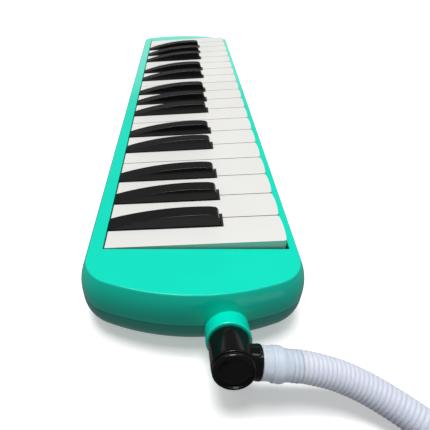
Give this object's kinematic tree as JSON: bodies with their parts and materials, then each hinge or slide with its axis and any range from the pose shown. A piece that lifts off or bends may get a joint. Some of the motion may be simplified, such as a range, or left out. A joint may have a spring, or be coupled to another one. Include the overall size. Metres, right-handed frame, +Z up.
{
  "type": "melodica",
  "caption": "Keyboard wind instrument with sprung piano-style keys, a reed chamber, a drain valve, and a swivel elbow with a flexible blowing hose and mouthpiece.",
  "frame": {"origin": "on the flat underside of the case, 216 mm from the wall with the socket and 1 mm to the back of the middle line", "axes": "+X to the player's side, where the white keys' fronts are; +Y to the treble end; +Z up"},
  "size_m": [0.1765, 0.655, 0.0432],
  "materials": {
    "case_top": "glossy moulded mint green plastic",
    "case_bottom": "glossy moulded mint green plastic",
    "white_key": "semi-gloss white plastic",
    "black_key": "satin black plastic",
    "elbow_black": "glossy black plastic",
    "hose_pale": "pale lavender white flexible plastic",
    "ivory_plastic": "moulded off-white plastic",
    "dark_plastic": "moulded dark plastic",
    "brass_plate": "rolled brass sheet",
    "reed_bronze": "phosphor bronze",
    "steel": "bright steel",
    "spring_steel": "blued spring steel",
    "felt": "pressed red felt",
    "rubber": "soft black rubber"
  },
  "bodies": {
    "root": {"top_case": "case_top", "bottom_case": "case_bottom", "mouthpiece_socket": "case_top", "air_duct": "dark_plastic", "reed_block": "ivory_plastic", "reed_plate_low": "brass_plate", "reed_plate_high": "brass_plate", "reeds": "reed_bronze", "reed_plate_screws": "steel", "chamber_gasket": "rubber", "key_axle": "steel", "axle_clips": "spring_steel", "key_comb": "ivory_plastic", "leaf_spring_comb": "spring_steel", "key_stop_felt": "felt", "drain_spring": "steel", "case_screws": "steel"},
    "drain_valve": {"drain_button": "case_top", "drain_seal": "rubber"},
    "elbow": {"elbow_connector": "elbow_black", "elbow_end_cap": "elbow_black", "socket_o_ring": "rubber", "hose_flange": "elbow_black", "hose_cuff": "hose_pale", "hose": "hose_pale", "mouthpiece_cuff": "hose_pale", "mouthpiece": "elbow_black"},
    "white_key_f3": {"white_key_f3": "white_key"},
    "white_key_g3": {"white_key_g3": "white_key"},
    "white_key_a3": {"white_key_a3": "white_key"},
    "white_key_b3": {"white_key_b3": "white_key"},
    "white_key_c4": {"white_key_c4": "white_key"},
    "white_key_d4": {"white_key_d4": "white_key"},
    "white_key_e4": {"white_key_e4": "white_key"},
    "white_key_f4": {"white_key_f4": "white_key"},
    "white_key_g4": {"white_key_g4": "white_key"},
    "white_key_a4": {"white_key_a4": "white_key"},
    "white_key_b4": {"white_key_b4": "white_key"},
    "white_key_c5": {"white_key_c5": "white_key"},
    "white_key_d5": {"white_key_d5": "white_key"},
    "white_key_e5": {"white_key_e5": "white_key"},
    "white_key_f5": {"white_key_f5": "white_key"},
    "white_key_g5": {"white_key_g5": "white_key"},
    "white_key_a5": {"white_key_a5": "white_key"},
    "white_key_b5": {"white_key_b5": "white_key"},
    "white_key_c6": {"white_key_c6": "white_key"},
    "black_key_f_sharp3": {"black_key_f_sharp3": "black_key"},
    "black_key_g_sharp3": {"black_key_g_sharp3": "black_key"},
    "black_key_a_sharp3": {"black_key_a_sharp3": "black_key"},
    "black_key_c_sharp4": {"black_key_c_sharp4": "black_key"},
    "black_key_d_sharp4": {"black_key_d_sharp4": "black_key"},
    "black_key_f_sharp4": {"black_key_f_sharp4": "black_key"},
    "black_key_g_sharp4": {"black_key_g_sharp4": "black_key"},
    "black_key_a_sharp4": {"black_key_a_sharp4": "black_key"},
    "black_key_c_sharp5": {"black_key_c_sharp5": "black_key"},
    "black_key_d_sharp5": {"black_key_d_sharp5": "black_key"},
    "black_key_f_sharp5": {"black_key_f_sharp5": "black_key"},
    "black_key_g_sharp5": {"black_key_g_sharp5": "black_key"},
    "black_key_a_sharp5": {"black_key_a_sharp5": "black_key"}
  },
  "joints": [
    {"name": "elbow_swivel", "type": "hinge", "parent": "root", "child": "elbow", "pos_m": [0.0157, -0.21503, 0.0159], "axis": [0, -0.9511, 0.309], "range_deg": [0, 95]},
    {"name": "drain_press", "type": "slide", "parent": "root", "child": "drain_valve", "axis": [0, -1, 0], "range_m": [0, 0.0025], "stiffness_N_per_m": 300, "springref_m": -0.003, "deforming": ["drain_spring"]},
    {"name": "white_key_f3_press", "type": "hinge", "parent": "root", "child": "white_key_f3", "pos_m": [-0.016, 0, 0.026], "axis": [0, 1, 0], "range_deg": [0, 3.6], "stiffness_Nm_per_rad": 0.25, "springref_deg": -9.17, "deforming": ["leaf_spring_comb"]},
    {"name": "white_key_g3_press", "type": "hinge", "parent": "root", "child": "white_key_g3", "pos_m": [-0.016, 0, 0.026], "axis": [0, 1, 0], "range_deg": [0, 3.6], "stiffness_Nm_per_rad": 0.25, "springref_deg": -9.17, "deforming": ["leaf_spring_comb"]},
    {"name": "white_key_a3_press", "type": "hinge", "parent": "root", "child": "white_key_a3", "pos_m": [-0.016, 0, 0.026], "axis": [0, 1, 0], "range_deg": [0, 3.6], "stiffness_Nm_per_rad": 0.25, "springref_deg": -9.17, "deforming": ["leaf_spring_comb"]},
    {"name": "white_key_b3_press", "type": "hinge", "parent": "root", "child": "white_key_b3", "pos_m": [-0.016, 0, 0.026], "axis": [0, 1, 0], "range_deg": [0, 3.6], "stiffness_Nm_per_rad": 0.25, "springref_deg": -9.17, "deforming": ["leaf_spring_comb"]},
    {"name": "white_key_c4_press", "type": "hinge", "parent": "root", "child": "white_key_c4", "pos_m": [-0.016, 0, 0.026], "axis": [0, 1, 0], "range_deg": [0, 3.6], "stiffness_Nm_per_rad": 0.25, "springref_deg": -9.17, "deforming": ["leaf_spring_comb"]},
    {"name": "white_key_d4_press", "type": "hinge", "parent": "root", "child": "white_key_d4", "pos_m": [-0.016, 0, 0.026], "axis": [0, 1, 0], "range_deg": [0, 3.6], "stiffness_Nm_per_rad": 0.25, "springref_deg": -9.17, "deforming": ["leaf_spring_comb"]},
    {"name": "white_key_e4_press", "type": "hinge", "parent": "root", "child": "white_key_e4", "pos_m": [-0.016, 0, 0.026], "axis": [0, 1, 0], "range_deg": [0, 3.6], "stiffness_Nm_per_rad": 0.25, "springref_deg": -9.17, "deforming": ["leaf_spring_comb"]},
    {"name": "white_key_f4_press", "type": "hinge", "parent": "root", "child": "white_key_f4", "pos_m": [-0.016, 0, 0.026], "axis": [0, 1, 0], "range_deg": [0, 3.6], "stiffness_Nm_per_rad": 0.25, "springref_deg": -9.17, "deforming": ["leaf_spring_comb"]},
    {"name": "white_key_g4_press", "type": "hinge", "parent": "root", "child": "white_key_g4", "pos_m": [-0.016, 0, 0.026], "axis": [0, 1, 0], "range_deg": [0, 3.6], "stiffness_Nm_per_rad": 0.25, "springref_deg": -9.17, "deforming": ["leaf_spring_comb"]},
    {"name": "white_key_a4_press", "type": "hinge", "parent": "root", "child": "white_key_a4", "pos_m": [-0.016, 0, 0.026], "axis": [0, 1, 0], "range_deg": [0, 3.6], "stiffness_Nm_per_rad": 0.25, "springref_deg": -9.17, "deforming": ["leaf_spring_comb"]},
    {"name": "white_key_b4_press", "type": "hinge", "parent": "root", "child": "white_key_b4", "pos_m": [-0.016, 0, 0.026], "axis": [0, 1, 0], "range_deg": [0, 3.6], "stiffness_Nm_per_rad": 0.25, "springref_deg": -9.17, "deforming": ["leaf_spring_comb"]},
    {"name": "white_key_c5_press", "type": "hinge", "parent": "root", "child": "white_key_c5", "pos_m": [-0.016, 0, 0.026], "axis": [0, 1, 0], "range_deg": [0, 3.6], "stiffness_Nm_per_rad": 0.25, "springref_deg": -9.17, "deforming": ["leaf_spring_comb"]},
    {"name": "white_key_d5_press", "type": "hinge", "parent": "root", "child": "white_key_d5", "pos_m": [-0.016, 0, 0.026], "axis": [0, 1, 0], "range_deg": [0, 3.6], "stiffness_Nm_per_rad": 0.25, "springref_deg": -9.17, "deforming": ["leaf_spring_comb"]},
    {"name": "white_key_e5_press", "type": "hinge", "parent": "root", "child": "white_key_e5", "pos_m": [-0.016, 0, 0.026], "axis": [0, 1, 0], "range_deg": [0, 3.6], "stiffness_Nm_per_rad": 0.25, "springref_deg": -9.17, "deforming": ["leaf_spring_comb"]},
    {"name": "white_key_f5_press", "type": "hinge", "parent": "root", "child": "white_key_f5", "pos_m": [-0.016, 0, 0.026], "axis": [0, 1, 0], "range_deg": [0, 3.6], "stiffness_Nm_per_rad": 0.25, "springref_deg": -9.17, "deforming": ["leaf_spring_comb"]},
    {"name": "white_key_g5_press", "type": "hinge", "parent": "root", "child": "white_key_g5", "pos_m": [-0.016, 0, 0.026], "axis": [0, 1, 0], "range_deg": [0, 3.6], "stiffness_Nm_per_rad": 0.25, "springref_deg": -9.17, "deforming": ["leaf_spring_comb"]},
    {"name": "white_key_a5_press", "type": "hinge", "parent": "root", "child": "white_key_a5", "pos_m": [-0.016, 0, 0.026], "axis": [0, 1, 0], "range_deg": [0, 3.6], "stiffness_Nm_per_rad": 0.25, "springref_deg": -9.17, "deforming": ["leaf_spring_comb"]},
    {"name": "white_key_b5_press", "type": "hinge", "parent": "root", "child": "white_key_b5", "pos_m": [-0.016, 0, 0.026], "axis": [0, 1, 0], "range_deg": [0, 3.6], "stiffness_Nm_per_rad": 0.25, "springref_deg": -9.17, "deforming": ["leaf_spring_comb"]},
    {"name": "white_key_c6_press", "type": "hinge", "parent": "root", "child": "white_key_c6", "pos_m": [-0.016, 0, 0.026], "axis": [0, 1, 0], "range_deg": [0, 3.6], "stiffness_Nm_per_rad": 0.25, "springref_deg": -9.17, "deforming": ["leaf_spring_comb"]},
    {"name": "black_key_f_sharp3_press", "type": "hinge", "parent": "root", "child": "black_key_f_sharp3", "pos_m": [-0.016, 0, 0.026], "axis": [0, 1, 0], "range_deg": [0, 3.6], "stiffness_Nm_per_rad": 0.25, "springref_deg": -9.17, "deforming": ["leaf_spring_comb"]},
    {"name": "black_key_g_sharp3_press", "type": "hinge", "parent": "root", "child": "black_key_g_sharp3", "pos_m": [-0.016, 0, 0.026], "axis": [0, 1, 0], "range_deg": [0, 3.6], "stiffness_Nm_per_rad": 0.25, "springref_deg": -9.17, "deforming": ["leaf_spring_comb"]},
    {"name": "black_key_a_sharp3_press", "type": "hinge", "parent": "root", "child": "black_key_a_sharp3", "pos_m": [-0.016, 0, 0.026], "axis": [0, 1, 0], "range_deg": [0, 3.6], "stiffness_Nm_per_rad": 0.25, "springref_deg": -9.17, "deforming": ["leaf_spring_comb"]},
    {"name": "black_key_c_sharp4_press", "type": "hinge", "parent": "root", "child": "black_key_c_sharp4", "pos_m": [-0.016, 0, 0.026], "axis": [0, 1, 0], "range_deg": [0, 3.6], "stiffness_Nm_per_rad": 0.25, "springref_deg": -9.17, "deforming": ["leaf_spring_comb"]},
    {"name": "black_key_d_sharp4_press", "type": "hinge", "parent": "root", "child": "black_key_d_sharp4", "pos_m": [-0.016, 0, 0.026], "axis": [0, 1, 0], "range_deg": [0, 3.6], "stiffness_Nm_per_rad": 0.25, "springref_deg": -9.17, "deforming": ["leaf_spring_comb"]},
    {"name": "black_key_f_sharp4_press", "type": "hinge", "parent": "root", "child": "black_key_f_sharp4", "pos_m": [-0.016, 0, 0.026], "axis": [0, 1, 0], "range_deg": [0, 3.6], "stiffness_Nm_per_rad": 0.25, "springref_deg": -9.17, "deforming": ["leaf_spring_comb"]},
    {"name": "black_key_g_sharp4_press", "type": "hinge", "parent": "root", "child": "black_key_g_sharp4", "pos_m": [-0.016, 0, 0.026], "axis": [0, 1, 0], "range_deg": [0, 3.6], "stiffness_Nm_per_rad": 0.25, "springref_deg": -9.17, "deforming": ["leaf_spring_comb"]},
    {"name": "black_key_a_sharp4_press", "type": "hinge", "parent": "root", "child": "black_key_a_sharp4", "pos_m": [-0.016, 0, 0.026], "axis": [0, 1, 0], "range_deg": [0, 3.6], "stiffness_Nm_per_rad": 0.25, "springref_deg": -9.17, "deforming": ["leaf_spring_comb"]},
    {"name": "black_key_c_sharp5_press", "type": "hinge", "parent": "root", "child": "black_key_c_sharp5", "pos_m": [-0.016, 0, 0.026], "axis": [0, 1, 0], "range_deg": [0, 3.6], "stiffness_Nm_per_rad": 0.25, "springref_deg": -9.17, "deforming": ["leaf_spring_comb"]},
    {"name": "black_key_d_sharp5_press", "type": "hinge", "parent": "root", "child": "black_key_d_sharp5", "pos_m": [-0.016, 0, 0.026], "axis": [0, 1, 0], "range_deg": [0, 3.6], "stiffness_Nm_per_rad": 0.25, "springref_deg": -9.17, "deforming": ["leaf_spring_comb"]},
    {"name": "black_key_f_sharp5_press", "type": "hinge", "parent": "root", "child": "black_key_f_sharp5", "pos_m": [-0.016, 0, 0.026], "axis": [0, 1, 0], "range_deg": [0, 3.6], "stiffness_Nm_per_rad": 0.25, "springref_deg": -9.17, "deforming": ["leaf_spring_comb"]},
    {"name": "black_key_g_sharp5_press", "type": "hinge", "parent": "root", "child": "black_key_g_sharp5", "pos_m": [-0.016, 0, 0.026], "axis": [0, 1, 0], "range_deg": [0, 3.6], "stiffness_Nm_per_rad": 0.25, "springref_deg": -9.17, "deforming": ["leaf_spring_comb"]},
    {"name": "black_key_a_sharp5_press", "type": "hinge", "parent": "root", "child": "black_key_a_sharp5", "pos_m": [-0.016, 0, 0.026], "axis": [0, 1, 0], "range_deg": [0, 3.6], "stiffness_Nm_per_rad": 0.25, "springref_deg": -9.17, "deforming": ["leaf_spring_comb"]}
  ]
}
